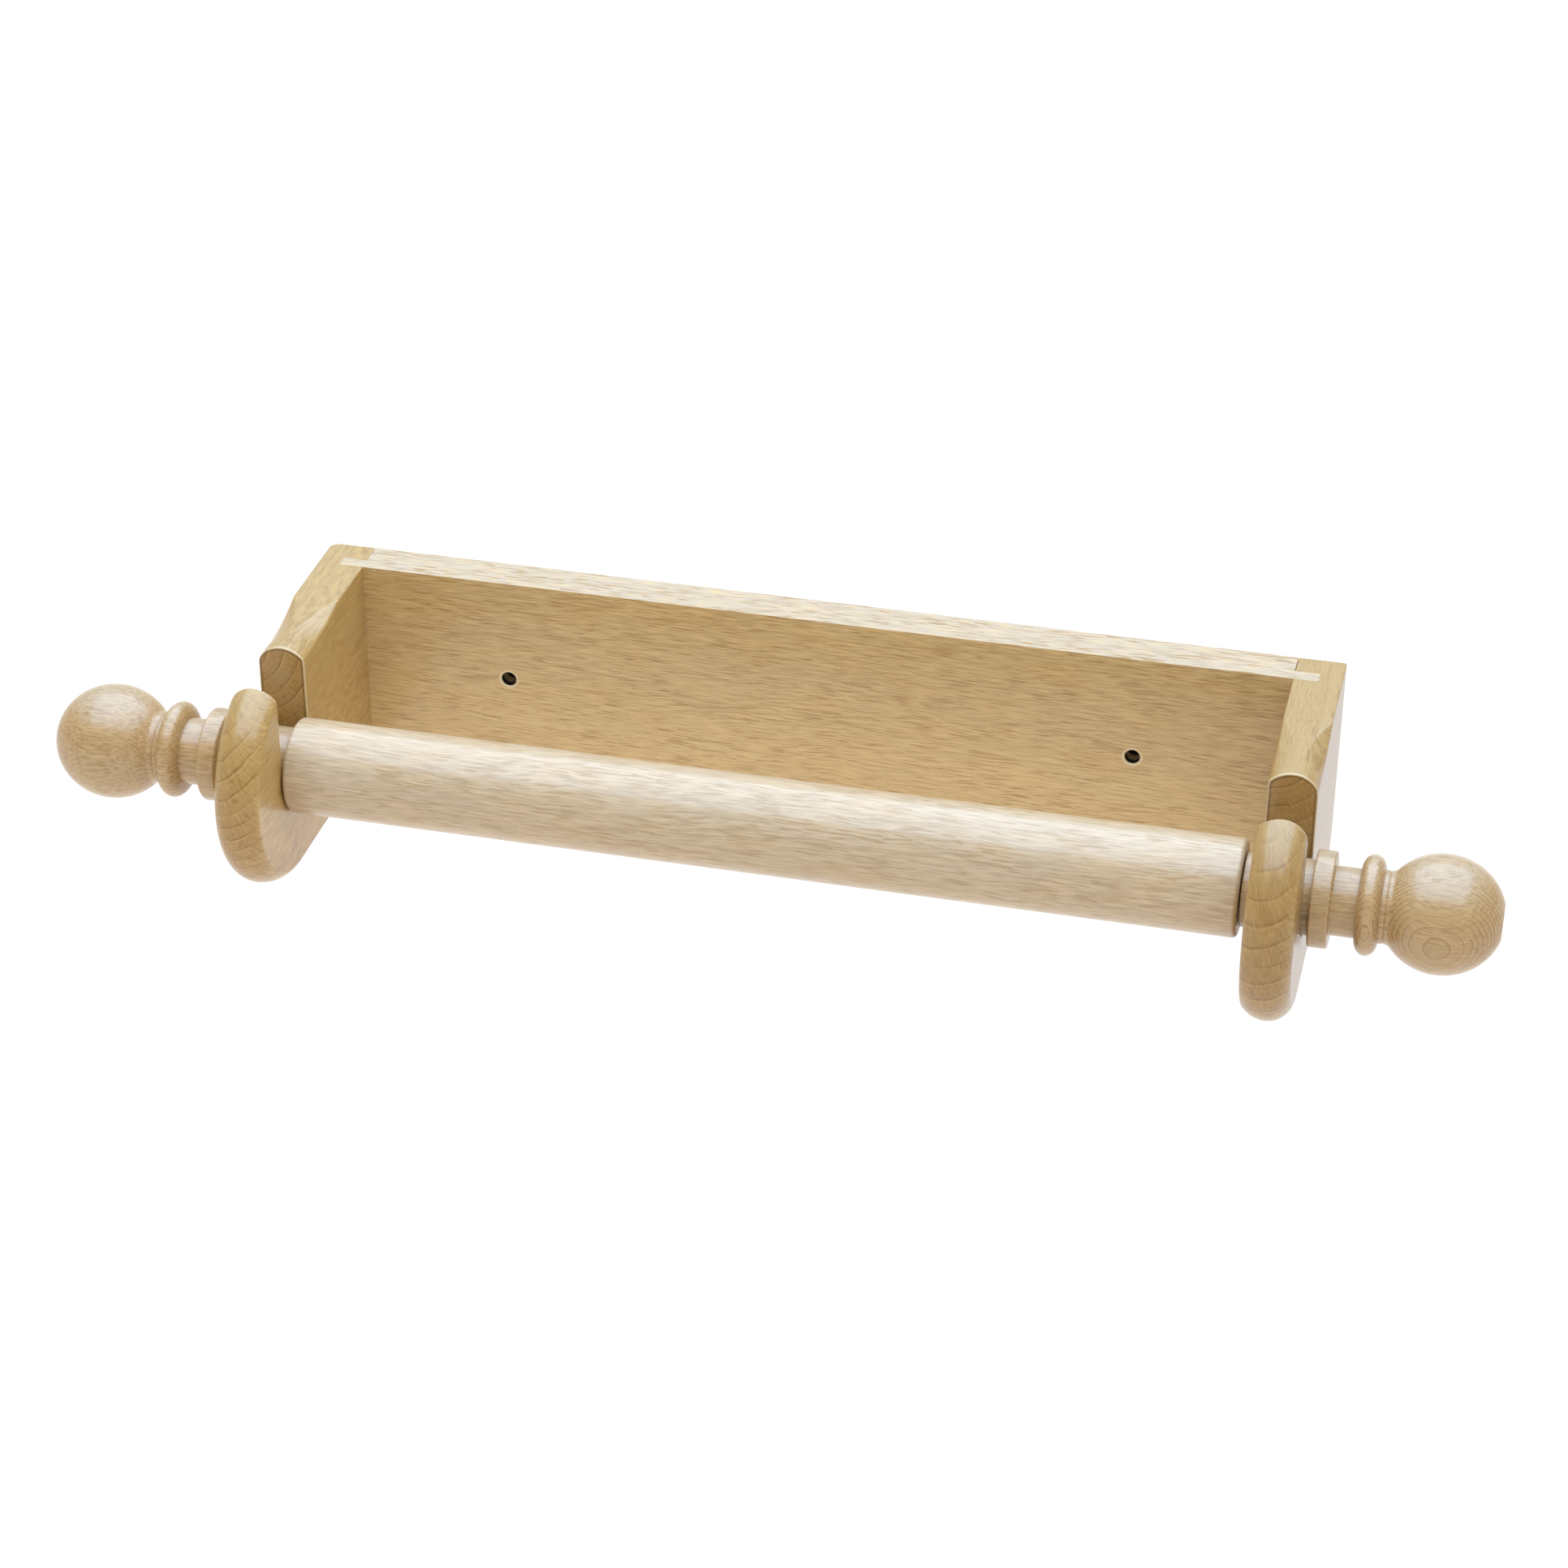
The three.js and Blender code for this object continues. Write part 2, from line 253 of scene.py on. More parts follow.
def skin(rings):
    """Vertices and faces of a closed skin over rings of points that all have the same count."""
    count = len(rings[0])
    vertices = [point for ring in rings for point in ring]
    faces = []
    for row in range(len(rings) - 1):
        for i in range(count):
            a = row * count + i
            b = row * count + (i + 1) % count
            faces.append((a, b, b + count, a + count))
    faces.append(tuple(range(count)))
    faces.append(tuple(range(len(vertices) - count, len(vertices))))
    return vertices, faces


def lathe(name, profile, sides, flute=None):
    """A solid turned about the spindle's axis, from (radius, x) points that start and end on it."""
    vertices = []
    rows = []
    for radius, x in profile:
        if radius < 1e-6:
            rows.append([len(vertices)])
            vertices.append((x, AXIS_Y, AXIS_Z))
            continue
        rows.append(list(range(len(vertices), len(vertices) + sides)))
        for i in range(sides):
            angle = 2 * math.pi * i / sides
            reach = radius if flute is None else flute(radius, angle)
            y = AXIS_Y + reach * math.cos(angle)
            z = AXIS_Z + reach * math.sin(angle)
            vertices.append((x, y, z))
    faces = []
    for first, second in zip(rows, rows[1:]):
        for i in range(sides):
            j = (i + 1) % sides
            if len(first) == 1:
                faces.append((first[0], second[i], second[j]))
            elif len(second) == 1:
                faces.append((first[i], first[j], second[0]))
            else:
                faces.append((first[i], first[j], second[j], second[i]))
    return mesh_object(name, vertices, faces)


# ---- Brackets ---------------------------------------------------------------


def crown_radius(drop):
    """Radius of an arc across the bracket that falls by a drop from its middle to its faces."""
    return (BRACKET_HALF**2 + drop**2) / (2 * drop)


def quarter_round(radius, distance):
    """How far a rounded corner of that radius lies in from its faces, at a distance from one."""
    along = max(0.0, radius - distance)
    return radius - math.sqrt(max(0.0, radius**2 - along**2))


def round_over(y, from_edge, drop, crease_reach):
    """Depth of the bracket's rounded-over edge: a chamfer where it starts, an arc where it ends."""
    run = ROUND_START_Y - y
    if run <= 0:
        return 0.0
    progress = min(run / ROUND_RUN_OUT, 1.0)
    edge_drop = drop * (1 - (1 - progress) ** 2)
    spread_out = 1 - math.exp(-progress * ROUND_RUN_OUT / crease_reach)
    crease = BRACKET_HALF * spread_out / (1 - math.exp(-ROUND_RUN_OUT / crease_reach))
    chamfer = max(0.0, 1 - from_edge / crease)
    radius = crown_radius(drop)
    arc_drop = radius - math.sqrt(radius**2 - (chamfer * BRACKET_HALF) ** 2)
    return edge_drop * (chamfer + (arc_drop / drop - chamfer) * progress**2)


def rear_outline(inset, rear):
    """From the rounded corner below, up the rear edge and round the square corner above."""
    top = TOP - inset
    corner_centre = (-REAR_CORNER_RADIUS, BOTTOM + REAR_CORNER_RADIUS)
    points = arc(corner_centre, REAR_CORNER_RADIUS - inset, -90, 0, 10)
    return points + fillet((-rear, top), (-rear, 0), (ROUND_START_Y, top), ARRIS)


def arm_outline(inset, depth_at):
    """Forward along the arm's top, and down the slot's rear wall."""
    rear_wall = AXIS_Y + SLOT_RADIUS + inset
    arm_end = rear_wall + 2 * ARRIS
    places = spread(-REAR_CORNER_CLEARANCE, ROUND_START_Y, 6)
    places += spread(ROUND_START_Y - ROUND_START_CLEARANCE, arm_end, 60)
    points = [Vector((y, TOP - inset - depth_at(y))) for y in places]
    slot_top = TOP - inset - depth_at(rear_wall)
    points += fillet((rear_wall, slot_top), (arm_end, slot_top), (rear_wall, AXIS_Z), ARRIS)
    heights = spread(slot_top - SLOT_TOP_CLEARANCE, AXIS_Z + SLOT_BOTTOM_CLEARANCE, 10)
    return points + [Vector((rear_wall, z)) for z in heights]


def nose_outline(inset, depth_at):
    """Round the slot's bottom, up its front wall, and round the nose to the underside."""
    front_wall = AXIS_Y - SLOT_RADIUS - inset
    nose_radius = NOSE_RADIUS - inset - depth_at(NOSE_Y)
    horn_angle = math.degrees(math.acos((front_wall - NOSE_Y) / nose_radius))
    horn_top = NOSE_Z + nose_radius * math.sin(math.radians(horn_angle))
    past_corner = horn_angle + math.degrees(2 * ARRIS / nose_radius)
    nose = arc((NOSE_Y, NOSE_Z), nose_radius, past_corner, 270, 70)
    points = arc((AXIS_Y, AXIS_Z), SLOT_RADIUS + inset, 0, -180, 40)
    heights = spread(AXIS_Z + SLOT_BOTTOM_CLEARANCE, horn_top - SLOT_TOP_CLEARANCE, 10)
    points += [Vector((front_wall, z)) for z in heights]
    points += fillet((front_wall, horn_top), (front_wall, AXIS_Z), nose[0], ARRIS)
    return points + nose


def underside_outline(inset, depth_at):
    """Back along the underside to the rounded rear corner."""
    places = spread(NOSE_Y + NOSE_CLEARANCE, ROUND_START_Y - ROUND_START_CLEARANCE, 50)
    places += spread(ROUND_START_Y, -REAR_CORNER_RADIUS - REAR_ROUND_CLEARANCE, 4)
    return [Vector((y, BOTTOM + inset + depth_at(y))) for y in places]


def bracket_outline(side, across):
    """The side view as (y, z) points, at a place across the thickness from -1 to 1."""
    from_edge = BRACKET_HALF * (1 - abs(across))
    inset = quarter_round(ARRIS, from_edge)
    rear = inset
    if side < 0:
        rear = max(inset, quarter_round(LEFT_REAR_ROUND, BRACKET_HALF * (1 + across)))

    drop = OUTER_DROP
    crease_reach = OUTER_CREASE_REACH
    if across * side < 0:
        drop = INNER_DROP
        crease_reach = LEFT_INNER_CREASE_REACH if side < 0 else RIGHT_INNER_CREASE_REACH

    def depth_at(y):
        return round_over(y, from_edge, drop, crease_reach)

    points = rear_outline(inset, rear)
    for part in (arm_outline, nose_outline, underside_outline):
        points += part(inset, depth_at)
    return [(min(y, -rear), z) for y, z in points]


def layers_across():
    """Places across the thickness, closer together where the edges are eased."""
    edge = [BRACKET_HALF - ARRIS * (1 - math.cos(math.radians(a))) for a in spread(0, 90, 4)]
    radius = crown_radius(OUTER_DROP)
    widest = math.degrees(math.asin((BRACKET_HALF - ARRIS) / radius))
    crown = [radius * math.sin(math.radians(a)) for a in spread(widest, -widest, 24)]
    places = edge[:-1] + crown + [-x for x in reversed(edge[:-1])]
    return [x / BRACKET_HALF for x in reversed(places)]


def box_cutter(low, high):
    """A plain box between two corners in millimetres, to cut with."""
    cutter = bpy.data.objects.new("cutter", bpy.data.meshes.new("cutter"))
    bpy.context.scene.collection.objects.link(cutter)
    edit = bmesh.new()
    bmesh.ops.create_cube(edit, size=1)
    middle = (Vector(low) + Vector(high)) / 2
    size = Vector(high) - Vector(low)
    edit.transform(Matrix.Translation(middle * MM) @ Matrix.Diagonal((*(size * MM), 1)))
    edit.to_mesh(cutter.data)
    edit.free()
    return cutter


def groove_cutter(side):
    """The groove for the board's tongue, open at the bracket's inner face, top and bottom."""
    mouth = side * (INNER_HALF_WIDTH - CUT_OVERRUN)
    floor = side * (INNER_HALF_WIDTH + TONGUE_LENGTH + JOINT_GAP)
    front = BOARD_FRONT - JOINT_GAP
    rear = BOARD_FRONT + TONGUE_THICKNESS + JOINT_GAP
    low = (min(mouth, floor), front, BOTTOM - CUT_OVERRUN)
    high = (max(mouth, floor), rear, TOP + CUT_OVERRUN)
    return box_cutter(low, high)


def build_bracket(name, side):
    layers = []
    for across in layers_across():
        x = side * BRACKET_MIDDLE + across * BRACKET_HALF
        layers.append([(x, y, z) for y, z in bracket_outline(side, across)])
    piece = mesh_object(name, *skin(layers))
    combine(piece, "DIFFERENCE", [groove_cutter(side)])
    keep_flats_flat(piece)
    return piece


# ---- Back board -------------------------------------------------------------


def board_section(rear, arris):
    """Corner points of the board's cross-section (y, z), from its front back to a rear face."""
    corners = [(BOARD_FRONT, BOTTOM), (BOARD_FRONT, TOP), (rear, TOP), (rear, BOTTOM)]
    points = []
    for index, corner in enumerate(corners):
        following = corners[(index + 1) % 4]
        points += fillet(corner, corners[index - 1], following, arris, 3)
    return points


def board_length(name, half_length, section):
    """A solid of one section, reaching equally far to both sides."""
    ends = []
    for x in (-half_length, half_length):
        ends.append([(x, y, z) for y, z in section])
    return mesh_object(name, *skin(ends))


def build_board(name):
    piece = board_length(name, INNER_HALF_WIDTH - JOINT_GAP, board_section(0, BOARD_ARRIS))
    tongue_section = board_section(BOARD_FRONT + TONGUE_THICKNESS, TONGUE_ARRIS)
    tongues = board_length("tongues", INNER_HALF_WIDTH + TONGUE_LENGTH, tongue_section)
    combine(piece, "UNION", [tongues])
    combine(piece, "DIFFERENCE", [hole_cutter(side * HOLE_FROM_MIDDLE) for side in (-1, 1)])
    keep_flats_flat(piece)
    return piece


def hole_cutter(x):
    """A drill's shape with a slightly wider mouth on the board's front."""
    mouth = HOLE_RADIUS + HOLE_MOUTH
    profile = [
        (mouth, BOARD_FRONT - CUT_OVERRUN),
        (mouth, BOARD_FRONT),
        (HOLE_RADIUS, BOARD_FRONT + HOLE_MOUTH),
        (HOLE_RADIUS, CUT_OVERRUN),
    ]
    circles = []
    for radius, y in profile:
        circle = arc((x, HOLE_Z), radius, 0, 360, HOLE_SIDES)[:-1]
        circles.append([(px, y, pz) for px, pz in circle])
    return mesh_object("cutter", *skin(circles))


# ---- Spindle ----------------------------------------------------------------


def build_rod(name):
    left = ROD_LOW.x
    right = ROD_HIGH.x
    left_end = fillet((ROD_RADIUS, left), (0, left), (ROD_RADIUS, 0), ROD_END_ROUND, 8)
    right_end = fillet((ROD_RADIUS, right), (ROD_RADIUS, 0), (0, right), ROD_END_ROUND, 8)
    profile = [(0, left + BORE_IN_ROD), (BORE_RADIUS, left + BORE_IN_ROD), (BORE_RADIUS, left)]
    profile += left_end
    profile += [(ROD_RADIUS, x) for x in spread(left + ROD_END_PLAIN, right - ROD_END_PLAIN, 24)]
    profile += right_end
    profile += [(BORE_RADIUS, right), (BORE_RADIUS, right - BORE_IN_ROD), (0, right - BORE_IN_ROD)]
    piece = lathe(name, profile, ROD_SIDES)
    keep_flats_flat(piece)
    return piece


def collar_path():
    """From the shoulder along the journal, over the collar and along the neck."""
    corners = [
        ((BORE_RADIUS, SHOULDER_GAP), 0),
        ((JOURNAL_RADIUS, SHOULDER_GAP), JOURNAL_EASE),
        ((JOURNAL_RADIUS, COLLAR_START), JOURNAL_EASE),
        ((COLLAR_RADIUS, COLLAR_START), COLLAR_EASE),
        ((COLLAR_RADIUS, COLLAR_END), COLLAR_EASE),
        ((NECK_RADIUS, COLLAR_END), NECK_EASE),
        ((NECK_RADIUS, BEAD_CENTRE - BEAD_HALF_WIDTH), 0),
    ]
    path = []
    for index, (corner, ease) in enumerate(corners):
        if ease == 0:
            path.append(Vector(corner))
        else:
            path += fillet(corner, corners[index - 1][0], corners[index + 1][0], ease, 5)
    return path


def bead_path():
    """Over the bead, from the neck to the slightly thicker throat."""
    path = []
    for angle in spread(-BEAD_TURN, BEAD_TURN, 20):
        turn = math.radians(angle)
        share = (math.sin(turn) + 1) / 2
        foot = NECK_RADIUS + (THROAT_RADIUS - NECK_RADIUS) * share
        rise = (BEAD_RADIUS - foot) * math.cos(turn)
        path.append(Vector((foot + rise, BEAD_CENTRE + BEAD_HALF_WIDTH * math.sin(turn))))
    return path


def throat_path(ball_start):
    """Along the throat to the ball, with a fine groove halfway."""
    groove = (THROAT_START + ball_start) / 2
    places = [
        (0, THROAT_START),
        (0, groove - GROOVE_HALF_WIDTH),
        (GROOVE_DEPTH, groove),
        (0, groove + GROOVE_HALF_WIDTH),
        (0, ball_start - THROAT_END_CLEARANCE),
    ]
    return [Vector((THROAT_RADIUS - depth, along)) for depth, along in places]


def ball_path():
    """Over the ball, which is a little longer than it is wide, to the rim of its flat tip."""
    start = -math.degrees(math.acos(THROAT_RADIUS / BALL_RADIUS))
    end = math.degrees(math.acos(BALL_FLAT_RADIUS / BALL_RADIUS))
    sphere = arc((0, 0), BALL_RADIUS, start, end, 56)
    return [Vector((radius, BALL_CENTRE + BALL_STRETCH * along)) for radius, along in sphere]


def finial_profile(journal_extra):
    """(radius, distance outward from the rod's end face) points of an end piece, bore first."""
    ball = ball_path()
    tip = ball[-1].y
    path = collar_path() + bead_path() + throat_path(ball[0].y) + ball[1:-1]
    path += fillet((BALL_FLAT_RADIUS, tip), ball[-2], (0, tip), BALL_FLAT_EASE)
    path.append(Vector((0, tip)))
    profile = [(0, BORE_IN_FINIAL), (BORE_RADIUS, BORE_IN_FINIAL)]
    for radius, along in path:
        past_journal = along > COLLAR_START / 2
        profile.append((radius, along + journal_extra if past_journal else along))
    return profile


def build_finial(name, side):
    rod_end = ROD_HIGH.x if side > 0 else ROD_LOW.x
    journal_extra = LEFT_JOURNAL_EXTRA if side < 0 else 0
    profile = [(radius, rod_end + side * along) for radius, along in finial_profile(journal_extra)]
    piece = lathe(name, profile, FINIAL_SIDES)
    keep_flats_flat(piece)
    return piece


def build_peg(name, side):
    rod_end = ROD_HIGH.x if side > 0 else ROD_LOW.x
    profile = [
        (0, -PEG_IN_ROD),
        (PEG_RADIUS - PEG_CHAMFER, -PEG_IN_ROD),
        (PEG_RADIUS, -PEG_IN_ROD + PEG_CHAMFER),
        (PEG_RADIUS, PEG_IN_FINIAL - PEG_CHAMFER),
        (PEG_RADIUS - PEG_CHAMFER, PEG_IN_FINIAL),
        (0, PEG_IN_FINIAL),
    ]

    def fluted(radius, angle):
        groove = max(0.0, math.cos(PEG_FLUTES * angle)) ** 2
        return radius - PEG_FLUTE_DEPTH * groove

    placed = [(radius, rod_end + side * along) for radius, along in profile]
    piece = lathe(name, placed, PEG_FLUTES * SIDES_PER_FLUTE, fluted)
    keep_flats_flat(piece, 30)
    return piece


# ---- Beech ------------------------------------------------------------------


class Graph:
    """Adds and links shader nodes in a few words."""

    def __init__(self, name):
        self.material = bpy.data.materials.new(name)
        self.material.use_nodes = True
        self.tree = self.material.node_tree
        self.tree.nodes.clear()

    def node(self, kind, **settings):
        made = self.tree.nodes.new(kind)
        for key, value in settings.items():
            setattr(made, key, value)
        return made

    def feed(self, socket, value):
        """Links another node's output to a socket, or sets its number or colour."""
        if isinstance(value, bpy.types.NodeSocket):
            self.tree.links.new(value, socket)
        else:
            socket.default_value = value

    def math(self, operation, first, second=0.0, third=0.0):
        made = self.node("ShaderNodeMath", operation=operation)
        for socket, value in zip(made.inputs, (first, second, third)):
            self.feed(socket, value)
        return made.outputs[0]

    def vector(self, x, y, z):
        made = self.node("ShaderNodeCombineXYZ")
        for socket, value in zip(made.inputs, (x, y, z)):
            self.feed(socket, value)
        return made.outputs[0]

    def split(self, vector):
        """The three numbers of a vector."""
        made = self.node("ShaderNodeSeparateXYZ")
        self.feed(made.inputs[0], vector)
        return made.outputs

    def length(self, vector):
        made = self.node("ShaderNodeVectorMath", operation="LENGTH")
        self.feed(made.inputs[0], vector)
        return made.outputs["Value"]

    def noise(self, vector, detail=2.0, roughness=0.5):
        made = self.node("ShaderNodeTexNoise")
        self.feed(made.inputs["Vector"], vector)
        made.inputs["Scale"].default_value = 1.0
        made.inputs["Detail"].default_value = detail
        made.inputs["Roughness"].default_value = roughness
        return made.outputs["Fac"]

    def between(self, value, low, high, to_low=0.0, to_high=1.0):
        """Maps low..high smoothly to to_low..to_high, and holds it there outside."""
        made = self.node("ShaderNodeMapRange", interpolation_type="SMOOTHSTEP")
        for socket, number in zip(made.inputs, (value, low, high, to_low, to_high)):
            self.feed(socket, number)
        return made.outputs[0]

    def mix(self, factor, first, second):
        """A colour on the way from the first to the second."""
        made = self.node("ShaderNodeMix", data_type="RGBA")
        self.feed(made.inputs["Factor"], factor)
        # The node also has sockets for numbers and vectors: these are its colours.
        self.feed(made.inputs[6], first)
        self.feed(made.inputs[7], second)
        return made.outputs[2]

    def surface(self, shader):
        """Ends the graph with its shader, and gives the finished material."""
        output = self.node("ShaderNodeOutputMaterial")
        self.feed(output.inputs["Surface"], shader.outputs[0])
        return self.material


def srgb(red, green, blue):
    """A colour given as 0..255 display values, as the linear colour that shaders use."""

    def linear(value):
        share = value / 255
        return share / 12.92 if share <= 0.04045 else ((share + 0.055) / 1.055) ** 2.4

    return (linear(red), linear(green), linear(blue), 1.0)


def beech(name, grain, pith, ring_width, base, rings, rays, dash, seed, tone=None, marks=None):
    """Lacquered beech, solid through the piece.

    The grain runs along one axis, and the growth rings lie round the pith, a
    line along that axis given by its other two coordinates in millimetres.
    `rings` and `rays` say how strongly those show, and `dash` is the size of a
    ray's mark along the grain, outward and around. `tone` and `marks` add what
    one piece has below and above the wood's figure, and painted light and shade.
    """
    graph = Graph(name)
    spot = wood_place(graph, grain, pith, seed)
    colour = body_colour(graph, spot, base, seed)
    if tone:
        colour = tone(graph, spot, colour, base)
    colour = add_rings(graph, spot, colour, base, ring_width, rings)
    colour, dashes = add_rays(graph, spot, colour, base, rays, dash, seed)
    if marks:
        colour = marks(graph, spot, colour, base)

    shader = graph.node("ShaderNodeBsdfPrincipled")
    graph.feed(shader.inputs["Base Color"], colour)
    fibre_roughness = graph.between(spot.fibre, 0.2, 0.8, 0.4, 0.5)
    roughness = graph.math("MULTIPLY_ADD", spot.end_grain, 0.1, fibre_roughness)
    graph.feed(shader.inputs["Roughness"], roughness)
    shader.inputs["IOR"].default_value = 1.45
    shader.inputs["Specular IOR Level"].default_value = 0.4
    shader.inputs["Coat Weight"].default_value = 0.6
    shader.inputs["Coat Roughness"].default_value = 0.18
    shader.inputs["Coat IOR"].default_value = 1.6

    height = graph.math("SUBTRACT", spot.fibre, graph.math("MULTIPLY", dashes, 0.6))
    bump = graph.node("ShaderNodeBump")
    bump.inputs["Strength"].default_value = 0.15
    bump.inputs["Distance"].default_value = 0.12 * MM
    graph.feed(bump.inputs["Height"], height)
    graph.feed(shader.inputs["Normal"], bump.outputs[0])
    return graph.surface(shader)


def wood_place(graph, grain, pith, seed):
    """Where a point lies in the wood, in millimetres, and which way its surface faces."""
    coordinates = graph.node("ShaderNodeTexCoord").outputs
    metres = graph.split(coordinates["Object"])
    spot = SimpleNamespace()
    spot.x, spot.y, spot.z = (graph.math("DIVIDE", output, MM) for output in metres)
    spot.facing_x, spot.facing_y, spot.facing_z = graph.split(coordinates["Normal"])
    if grain == "X":
        spot.along, spot.first, spot.second = spot.x, spot.y, spot.z
        end_on = spot.facing_x
    else:
        spot.along, spot.first, spot.second = spot.y, spot.x, spot.z
        end_on = spot.facing_y
    spot.end_grain = graph.between(graph.math("ABSOLUTE", end_on), 0.35, 0.9)
    spot.side_grain = graph.math("SUBTRACT", 1.0, spot.end_grain)

    # The grain wanders a little from its axis, and the rings wave a little.
    drift = graph.noise(stretched(graph, spot, 70, 26, seed), 2.0)
    wave = graph.noise(stretched(graph, spot, 30, 5, seed), 1.0)
    wander = graph.math("MULTIPLY_ADD", wave, 1.2, graph.math("MULTIPLY_ADD", drift, 5.0, -3.1))
    out_first = graph.math("SUBTRACT", spot.first, pith[0])
    out_second = graph.math("SUBTRACT", spot.second, pith[1])
    from_pith = graph.length(graph.vector(out_first, out_second, 0.0))
    spot.radius = graph.math("ADD", from_pith, wander)
    turn = graph.math("ARCTAN2", out_second, out_first)
    middle_first = AXIS_Y if grain == "X" else math.copysign(BRACKET_MIDDLE, pith[0])
    typical_radius = math.hypot(middle_first - pith[0], pith[1])
    spot.around = graph.math("MULTIPLY_ADD", turn, typical_radius, wander)
    spot.fibre = graph.noise(stretched(graph, spot, 7, 0.35), 3.0, 0.6)
    return spot


def body_colour(graph, spot, base, seed):
    """The wood between its rings and rays: fibres, streaks and broad drifts of tone."""
    dark = shade(base, 0.72, warm=0.06)
    streak = graph.noise(stretched(graph, spot, 34, 1.3), 2.0)
    drift = graph.noise(stretched(graph, spot, 60, 13, seed), 3.0, 0.55)
    blush = graph.noise(stretched(graph, spot, 16, 5, seed + 3), 2.0)
    colour = graph.mix(graph.between(spot.fibre, 0.3, 0.7, 0.0, 0.35), shade(base, 1.12), dark)
    colour = graph.mix(graph.between(streak, 0.35, 0.7, 0.0, 0.3), colour, dark)
    colour = graph.mix(graph.between(drift, 0.35, 0.65, 0.0, 0.35), colour, shade(base, 1.08, warm=-0.08))
    colour = graph.mix(graph.between(blush, 0.45, 0.7, 0.0, 0.4), colour, shade(base, 1.0, warm=0.1))
    return graph.mix(graph.math("MULTIPLY", spot.end_grain, 0.5), colour, shade(base, 0.84, warm=0.08))


def add_rings(graph, spot, colour, base, ring_width, rings):
    """Growth rings: a line of dark late wood, and a pale one where the next ring starts."""
    phase = graph.math("FRACT", graph.math("DIVIDE", spot.radius, ring_width))
    fine_phase = graph.math("FRACT", graph.math("DIVIDE", spot.radius, ring_width * 0.37))
    late = growth_line(graph, phase, 0.8)
    late = graph.math("MULTIPLY_ADD", growth_line(graph, fine_phase, 0.5), 0.25, late)
    late = graph.math("MULTIPLY_ADD", graph.between(phase, 0.2, 0.9), 0.2, late)
    share = graph.math("MULTIPLY_ADD", spot.end_grain, 0.82 * rings, 0.18 * rings)
    uneven = graph.between(graph.noise(stretched(graph, spot, 40, 6, ring_width), 1.0), 0.35, 0.6, 0.5, 1.0)
    share = graph.math("MULTIPLY", share, uneven)
    colour = graph.mix(graph.math("MULTIPLY", late, share), colour, shade(base, 0.48, warm=0.22))
    early = graph.between(phase, 0.0, 0.2, 0.55, 0.0)
    return graph.mix(graph.math("MULTIPLY", early, share), colour, shade(base, 1.45))


def add_rays(graph, spot, colour, base, rays, dash, seed):
    """Rays: dashes along the grain on side grain, and lines across the rings on end grain."""
    length, outward, around = dash
    place = graph.vector(
        graph.math("MULTIPLY_ADD", spot.along, 1 / length, seed),
        graph.math("DIVIDE", spot.radius, outward),
        graph.math("DIVIDE", spot.around, around),
    )
    ripple = graph.noise(place, 1.5, 0.55)
    crowd = graph.between(graph.noise(stretched(graph, spot, 18, 4, seed), 1.0), 0.35, 0.6, 0.45, 1.0)
    dashes = graph.math("MULTIPLY", graph.between(ripple, 0.52, 0.6), crowd)
    strong = ray_flecks(graph, spot, (9.0, 4.2, 0.85), seed)
    strong = graph.math("MULTIPLY", strong, spot.side_grain)
    dark = graph.math("MAXIMUM", graph.math("MULTIPLY", dashes, 0.75), strong)
    colour = graph.mix(graph.math("MULTIPLY", dark, rays), colour, shade(base, 0.52, warm=0.26))
    pale = graph.between(ripple, 0.34, 0.47, 0.6 * rays, 0.0)
    return graph.mix(pale, colour, shade(base, 1.35)), dashes


def growth_line(graph, phase, begins):
    """A line of late wood that begins softly and ends sharply where the next ring starts."""
    rise = graph.between(phase, begins, 0.95)
    return graph.math("MULTIPLY", rise, graph.between(phase, 0.97, 1.0, 1.0, 0.0))


def ray_flecks(graph, spot, size, seed):
    """Short spindles, one in each cell of a size given along the grain, outward and around."""
    cells = graph.node("ShaderNodeTexVoronoi", feature="F1")
    cells.inputs["Scale"].default_value = 1.0
    place = graph.vector(
        graph.math("MULTIPLY_ADD", spot.along, 1 / size[0], seed),
        graph.math("DIVIDE", spot.radius, size[1]),
        graph.math("DIVIDE", spot.around, size[2]),
    )
    graph.feed(cells.inputs["Vector"], place)
    pick = graph.node("ShaderNodeSeparateColor")
    graph.feed(pick.inputs[0], cells.outputs["Color"])
    strength = graph.between(pick.outputs[0], 0.3, 0.95)
    return graph.math("MULTIPLY", graph.between(cells.outputs["Distance"], 0.1, 0.3, 1.0, 0.0), strength)


def stretched(graph, spot, length, width, seed=0.0):
    """Coordinates for a noise that is long along the grain, in millimetres."""
    return graph.vector(
        graph.math("MULTIPLY_ADD", spot.along, 1 / length, seed),
        graph.math("DIVIDE", spot.first, width),
        graph.math("DIVIDE", spot.second, width),
    )


def shade(colour, amount, warm=0.0):
    """A linear colour made lighter or darker, and warmer (or cooler where negative)."""
    red, green, blue = (channel * amount for channel in colour[:3])
    return (red * (1 + warm), green, blue * (1 - 1.6 * warm), 1.0)


BOARD_TONE = srgb(197, 165, 110)
BRACKET_TONE = srgb(178, 142, 80)
RIGHT_BRACKET_TONE = srgb(169, 134, 76)
ROD_TONE = srgb(194, 171, 137)
FINIAL_TONE = srgb(185, 153, 106)
# Painted highlight on the finials' tops.
FINIAL_TOP_HIGHLIGHT_TONE = srgb(184, 166, 140)
# Painted highlight on the board's top and bottom edges.
EDGE_HIGHLIGHT_TONE = srgb(193, 179, 158)
# Painted highlight on the brackets' tops.
ARM_TOP_HIGHLIGHT_TONE = srgb(182, 156, 108)
# Painted shade in the screw holes, and a painted patch of light halfway in them.
HOLE_SHADE_TONE = srgb(40, 30, 21)
HOLE_LIGHT_TONE = srgb(196, 172, 140)
# Pale rim colour: a painted highlight along the slots' eased edges, and a pale ring round the screw holes.
PALE_RIM_TONE = srgb(218, 196, 150)


